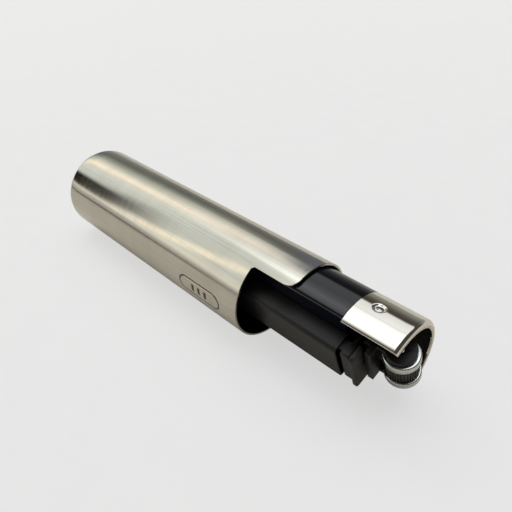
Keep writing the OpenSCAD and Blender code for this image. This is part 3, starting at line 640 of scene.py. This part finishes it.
def joined(name, pieces):
    """One object from several, which are then dropped."""
    work = bmesh.new()
    for piece in pieces:
        work.from_mesh(piece.data)
        bpy.data.objects.remove(piece)
    mesh = bpy.data.meshes.new(name)
    work.to_mesh(mesh)
    work.free()
    return finished(name, mesh)


def channel(half, back, front, wall, corner):
    """A U-shaped outline, open at the back, with its two front corners rounded."""
    inner = half - wall
    return soften([(back, -half), (front, -half), (front, half), (back, half),
                   (back, inner), (front - wall, inner), (front - wall, -inner), (back, -inner)],
                  [0.06, corner, corner, 0.06, 0.05, 0.1, 0.1, 0.05])


# %% Gas button's own sizes
BLOCK_S, BLOCK_HALF, BLOCK_BACK, BLOCK_FRONT, BLOCK_H = RAIL_END + 0.5, 3.5, 1.9, 4.3, 1.45
GROOVE_H, GROOVE_DEPTH, FLANGE_HALF, FLANGE_T, LEG_LEN, LEG_T = 0.3, 0.3, 4.1, 0.75, 5.5, 0.7
BLOCK_END = BLOCK_S + BLOCK_H
FLANGE_S = BLOCK_END + GROOVE_H
GROOVE_HALF, GROOVE_FRONT = BLOCK_HALF - GROOVE_DEPTH, BLOCK_FRONT - GROOVE_DEPTH
leg = soften(box_outline(BLOCK_BACK, BLOCK_FRONT - 0.6, LEG_T / 2), 0.1)
flange = soften(box_outline(BLOCK_BACK, RAIL_FRONT, FLANGE_HALF), [0.1, 0.8, 0.8, 0.1], 9)

# %% Gas button's pieces
button = joined("gas_button_moulding", [
    loft("block", channel(BLOCK_HALF, BLOCK_BACK, BLOCK_FRONT, 1.0, 0.4),
         BLOCK_S, BLOCK_END, 0.1),
    loft("groove", channel(GROOVE_HALF, BLOCK_BACK, GROOVE_FRONT, 0.7, 0.3),
         BLOCK_END - 0.1, FLANGE_S + 0.05, 0.02),
    loft("flange", flange, FLANGE_S, FLANGE_S + FLANGE_T, 0.16),
    *[loft("leg", leg + (0, side * (BLOCK_HALF - LEG_T / 2)), BLOCK_S - LEG_LEN, BLOCK_S + 0.1)
      for side in (-1, 1)]])
fit(button, "button", MATTE, "gas_button")

# %% [markdown]
# ## Mouldings kept from the CAD
# The lever, fork and tank have the right shape already, with all their bores and ribs. A
# copy of each is merged into clean faces, and its edges get the small radius that a mould
# leaves. The CAD node itself isn't changed.

# %% Copies with softened edges
MERGE, FLAT_WITHIN = 0.002, np.radians(0.5)


def softened(node, width):
    """A merged copy of a CAD node, with a bevel of width mm on every edge over 35 degrees."""
    mesh = frame["nodes"][node].data.copy()
    work = bmesh.new()
    work.from_mesh(mesh)
    bmesh.ops.remove_doubles(work, verts=work.verts, dist=MERGE * MM)
    bmesh.ops.dissolve_limit(work, angle_limit=FLAT_WITHIN, verts=work.verts, edges=work.edges)
    edges = [e for e in work.edges
             if len(e.link_faces) == 2 and e.calc_face_angle(0) > np.radians(35)]
    bmesh.ops.bevel(work, geom=edges, offset=width * MM, segments=2, profile=0.6, affect="EDGES")
    work.to_mesh(mesh)
    work.free()
    return finished(node + "_moulded", mesh, 40)


for node, body, width, slot, material in (
        ("rocker", "lever", 0.05, "matte_plastic", MATTE),
        ("flint_holder", "flint_unit", 0.08, "matte_plastic", MATTE),
        ("tank", "core", 0.08, "tank_plastic", GLOSSY)):
    fit(softened(node, width), body, material, node)

# %% Finishes for the CAD nodes that stay
for node, material in (
        ("base_plug", GLOSSY), ("refill_body", BRASS), ("refill_seal", RUBBER),
        ("refill_stem", ACETAL), ("wick_tube", ACETAL), ("filter_disc", ACETAL),
        ("burner_body", BRASS), ("burner_seal", RUBBER), ("burner_nozzle", BRASS),
        ("spring_plug", BRASS), ("flint", FLINT)):
    kept = frame["nodes"][node].data.materials
    kept.clear()
    kept.append(material)
    print(node, "is", material.name)

# %% [markdown]
# ## Floor and studio
# The lighter lies on a white light table, whose glow keeps its shadow pale. Polished metal
# sees a plain white floor in its place, where the shadow is as deep as it really is, since
# that is what darkens the underside of the sleeve. The second sheet lies a hair above the
# first, so that light which bounces off the table doesn't strike it.

# %% Floor
TABLE_HALF, HAIR = 1.5, 0.00004


def sheet(name, height, material):
    """A flat square of 3 x 3 points at that height, with its face up."""
    xy = np.linspace(-TABLE_HALF, TABLE_HALF, 3)
    x, y = np.meshgrid(xy, xy, indexing="ij")
    made = grid_piece(name, np.stack([x, y, 0 * x + height], axis=-1), close_rows=False,
                      close_columns=False)
    if made.data.polygons[0].normal.z < 0:
        made.data.flip_normals()
    made.data.materials.append(material)
    return made


PAPER, _, _ = surface("lit_table", "#8A8B8C", "#87888A", 0.0, (0.75, 0.9), 0.6, 0.002,
                      **{"Emission Color": (1, 1, 1, 1), "Emission Strength": 0.605})
CARD, card_tree, card_shader = surface(
    "warm_white_card", "#E6E0D6", "#E1DBD1", 0.0, (0.7, 0.9), 0.6, 0.002,
    **{"Emission Color": (1, 0.95, 0.85, 1), "Emission Strength": 0.1})
table = sheet("light_table", 0, PAPER)
table.visible_glossy = False
under = sheet("reflected_floor", HAIR, CARD)

# %% [markdown]
# Polished metal is seen only by what it reflects, so the studio around the lighter is what
# draws it: a large softbox overhead with a warm edge, a darker gap behind it and a dark
# strip near the horizon in front. The world's colour depends on two things. One is the
# angle around the lighter's length, from the horizon in front (0 degrees) over the top (90)
# to the horizon behind (180). The other is how far the direction leans along the lighter,
# from -1 at the closed end's side to 1 at the flame's.

# %% Directions in the studio
world = bpy.data.worlds.new("studio")
world.use_nodes = True
bpy.context.scene.world = world
tree = world.node_tree
tree.nodes.clear()
way = add(tree, "SeparateXYZ", {0: add(tree, "TexCoord").outputs["Generated"]}).outputs
lean = way["X"]
frontward = add(tree, "Math", {0: way["Y"], 1: -1}, operation="MULTIPLY")
turn_rad = add(tree, "Math", {0: way["Z"], 1: frontward}, operation="ARCTAN2")
turn_deg = add(tree, "Math", {0: turn_rad, 1: 180 / np.pi}, operation="MULTIPLY")


def where(*limits):
    """A product of smooth steps: each is 0 where its value is at low, and 1 where at high."""
    product = 1
    for value, low, high in limits:
        step = add(tree, "MapRange", {"Value": value, "From Min": low, "From Max": high},
                   interpolation_type="SMOOTHSTEP")
        product = add(tree, "Math", {0: product, 1: step}, operation="MULTIPLY")
    return product


# %% [markdown]
# Two colour ramps over the half turn hold the bands that the sleeve and the hood see. A
# ramp's colours stop at 1, so each radiance is divided by the brightest one, and the
# world's strength gives it back. On the closed end's side the bands are skewed: they slip
# backwards as the lean grows, so the sleeve's streaks run at a slant, as they do between
# lamps that don't stand square to it.

# %% Angle that the closed end's bands are read at
PEAK, HEEL_LEAN = 2.4, -0.75
past_heel = add(tree, "Math", {0: lean, 1: -HEEL_LEAN}, operation="ADD")
capped = add(tree, "Math", {0: past_heel, 1: 0.13}, operation="MINIMUM")
slip = add(tree, "Math", {0: capped, 1: 117}, operation="MULTIPLY")
upper_slip = add(tree, "Math", {0: slip, 1: where((turn_deg, 30, 75))}, operation="MULTIPLY")
skewed = add(tree, "Math", {0: turn_deg, 1: upper_slip}, operation="SUBTRACT")

# %% Bands: degrees and radiance
HEEL_BANDS = [
    (0, (0.6, 0.58, 0.52)), (4, (0.9, 0.88, 0.8)), (10, (1.3, 1.26, 1.1)), (18, (1.1, 1.1, 1.0)),
    (30, (1.0, 1.03, 0.97)), (62, (1.02, 1.07, 1.02)), (84, (1.12, 1.18, 1.12)),
    (94, (1.25, 1.2, 1.08)), (101, (1.8, 1.6, 1.36)), (109, (1.7, 1.52, 1.3)),
    (117, (1.1, 1.1, 0.97)), (137, (0.42, 0.44, 0.4)), (150, (0.19, 0.2, 0.175)),
    (168, (0.25, 0.255, 0.24)), (180, (0.36, 0.36, 0.34))]
FLAME_BANDS = [
    (0, (0.27, 0.26, 0.24)), (20, (0.4, 0.39, 0.36)), (60, (0.1, 0.085, 0.07)),
    (70, (0.09, 0.075, 0.06)), (74, (1.35, 1.35, 1.33)), (80, (1.6, 1.62, 1.62)),
    (92, (2.3, 2.35, 2.35)), (103, (1.5, 1.52, 1.52)), (111, (1.3, 1.3, 1.3)),
    (113.5, (1.0, 1.02, 1.01)), (116, (1.15, 1.17, 1.16)), (137, (1.0, 1.02, 1.0)),
    (142, (0.09, 0.08, 0.06)), (149, (0.08, 0.065, 0.05)), (160, (0.15, 0.14, 0.12)),
    (170, (0.27, 0.27, 0.24)), (180, (0.34, 0.34, 0.32))]


# %% Ramps
def lamp_colour(radiance):
    return (*(c / PEAK for c in radiance), 1)


ramps = []
for angle_deg, stops in ((skewed, HEEL_BANDS), (turn_deg, FLAME_BANDS)):
    around_half = add(tree, "Math", {0: angle_deg, 1: 1 / 180}, operation="MULTIPLY")
    ramp = add(tree, "ValToRGB", {0: around_half})
    marks = ramp.color_ramp.elements
    for at_deg, _ in stops[2:]:
        marks.new(at_deg / 180)
    for mark, (at_deg, radiance) in zip(marks, stops):
        mark.position, mark.color = at_deg / 180, lamp_colour(radiance)
    ramps.append(ramp)
heel_side, flame_side = ramps
print("studio bands:", len(HEEL_BANDS), "and", len(FLAME_BANDS))

# %% [markdown]
# The closed end also sees a warm streak and a dark wedge between two lamps. Each follows a
# slanted line: an angle where the lean is that of the heel, plus a slope times the lean.

# %% Streaks at the closed end
lit_line, steep_line, shallow_line = (
    add(tree, "Math", {0: lean, 1: slope, 2: at_deg - slope * HEEL_LEAN}, operation="MULTIPLY_ADD")
    for at_deg, slope in ((18, 190), (50, 400), (50, 170)))
lower_line = add(tree, "Math", {0: steep_line, 1: shallow_line}, operation="MINIMUM")
dark_line = add(tree, "Math", {0: 29, 1: lower_line}, operation="MAXIMUM")
for line, half, fade, radiance in ((lit_line, 10, (-0.8, -0.73), (1.8, 1.64, 1.38)),
                                   (dark_line, 25, (-0.7, -0.8), (0.02, 0.015, 0.01))):
    offset = add(tree, "Math", {0: turn_deg, 1: line}, operation="SUBTRACT")
    away = add(tree, "Math", {0: offset}, operation="ABSOLUTE")
    heel_side = add(tree, "Mix", {0: where((away, half, half * 0.45), (lean, *fade)),
                                  6: heel_side, 7: lamp_colour(radiance)},
                    data_type="RGBA").outputs[2]

# %% [markdown]
# The two sides blend over the lean, sooner near the top than near the horizon. A grey flag
# shades the black tank, and the side beyond the flame is dark, which draws the hood's
# shoulder. Seen directly, the backdrop is a plain pale grey.

# %% Studio world
starts = add(tree, "Math", {0: where((turn_deg, 78, 100)), 1: -0.3, 2: -0.5},
             operation="MULTIPLY_ADD")
tank_flag = where((turn_deg, 104, 126), (lean, -0.56, -0.48), (lean, -0.385, -0.42))
studio = heel_side
for mask, layer in ((where((lean, starts, -0.37)), flame_side),
                    (tank_flag, lamp_colour((0.19, 0.2, 0.24))),
                    (where((lean, 0.3, 0.45)), lamp_colour((0.07, 0.065, 0.06)))):
    studio = add(tree, "Mix", {0: mask, 6: studio, 7: layer}, data_type="RGBA").outputs[2]
lamp = add(tree, "Background", {"Color": studio, "Strength": PEAK})
backdrop = add(tree, "Background", {"Color": linear("#E3E3E3"), "Strength": 1.0})
seen = add(tree, "LightPath").outputs["Is Camera Ray"]
shown = add(tree, "MixShader", {0: seen, 1: lamp, 2: backdrop})
add(tree, "OutputWorld", {"Surface": shown})

# %% [markdown]
# A dark card lies on the floor beyond the thumb side. It shows only in reflections, as one
# sharp dark line along the lower side of the sleeve, softening towards the floor's tone.

# %% Dark card
edge_xy = np.array([(-0.19, -0.052), (-0.119, -0.062), (-0.098, -0.066), (-0.082, -0.076),
                    (-0.068, -0.086), (-0.053, -0.098), (-0.02, -0.128)])
away_x = np.array([-0.25, -0.25, -0.3, -0.4, -0.45, -0.45, -0.45])
outward = np.stack([away_x, np.full(len(away_x), -1.0)], axis=-1)
widths = np.array([0, 0.01, 0.03, 0.1, 0.4])
CARD_HEIGHT = 0.0004
card_xy = edge_xy[None] + widths[:, None, None] * outward[None]
card_points = np.concatenate([card_xy, np.full((*card_xy.shape[:2], 1), CARD_HEIGHT)], axis=-1)
strength = np.array([1, 0.97, 0.85, 0.6, 0.4])[:, None] * np.array([1, 1, 1, 0.9, 0.7, 0.4, 0])
card = grid_piece("dark_card", card_points, close_rows=False, close_columns=False,
                  marks={"dark": strength})
dark = add(card_tree, "Attribute", attribute_name="dark").outputs["Fac"]
plain = card_shader.inputs["Base Color"].links[0].from_socket
shaded = add(card_tree, "Mix", {0: dark, 6: plain, 7: linear("#14120F")}, data_type="RGBA")
card_tree.links.new(shaded.outputs[2], card_shader.inputs["Base Color"])
card.data.materials.append(CARD)
for unseen in (card, under):
    unseen.visible_camera = unseen.visible_diffuse = unseen.visible_shadow = False
print("dark card", len(card.data.polygons), "faces")

# %% [markdown]
# ## Camera
# A macro lens close to the lighter, above its flame end and on its thumb side.

# %% Camera
CAMERA_AT = np.array([57.84, -48.84, 62.54]) * MM
AZIMUTH, ELEVATION, FOCAL = np.radians(44.93), np.radians(35.26), 35.305
back = np.array([np.sin(AZIMUTH) * np.cos(ELEVATION), -np.cos(AZIMUTH) * np.cos(ELEVATION),
                 np.sin(ELEVATION)])
right = np.array([np.cos(AZIMUTH), np.sin(AZIMUTH), 0])
turned = np.eye(4)
turned[:3] = np.stack([right, np.cross(back, right), back, CAMERA_AT], axis=-1)
camera_data = bpy.data.cameras.new("macro")
camera_data.lens, camera_data.sensor_width, camera_data.clip_start = FOCAL, 36, 0.001
camera = bpy.data.objects.new("camera", camera_data)
camera.matrix_world = Matrix(turned.tolist())
bpy.context.scene.collection.objects.link(camera)
bpy.context.scene.camera = camera
bpy.context.scene.view_settings.view_transform = "Standard"
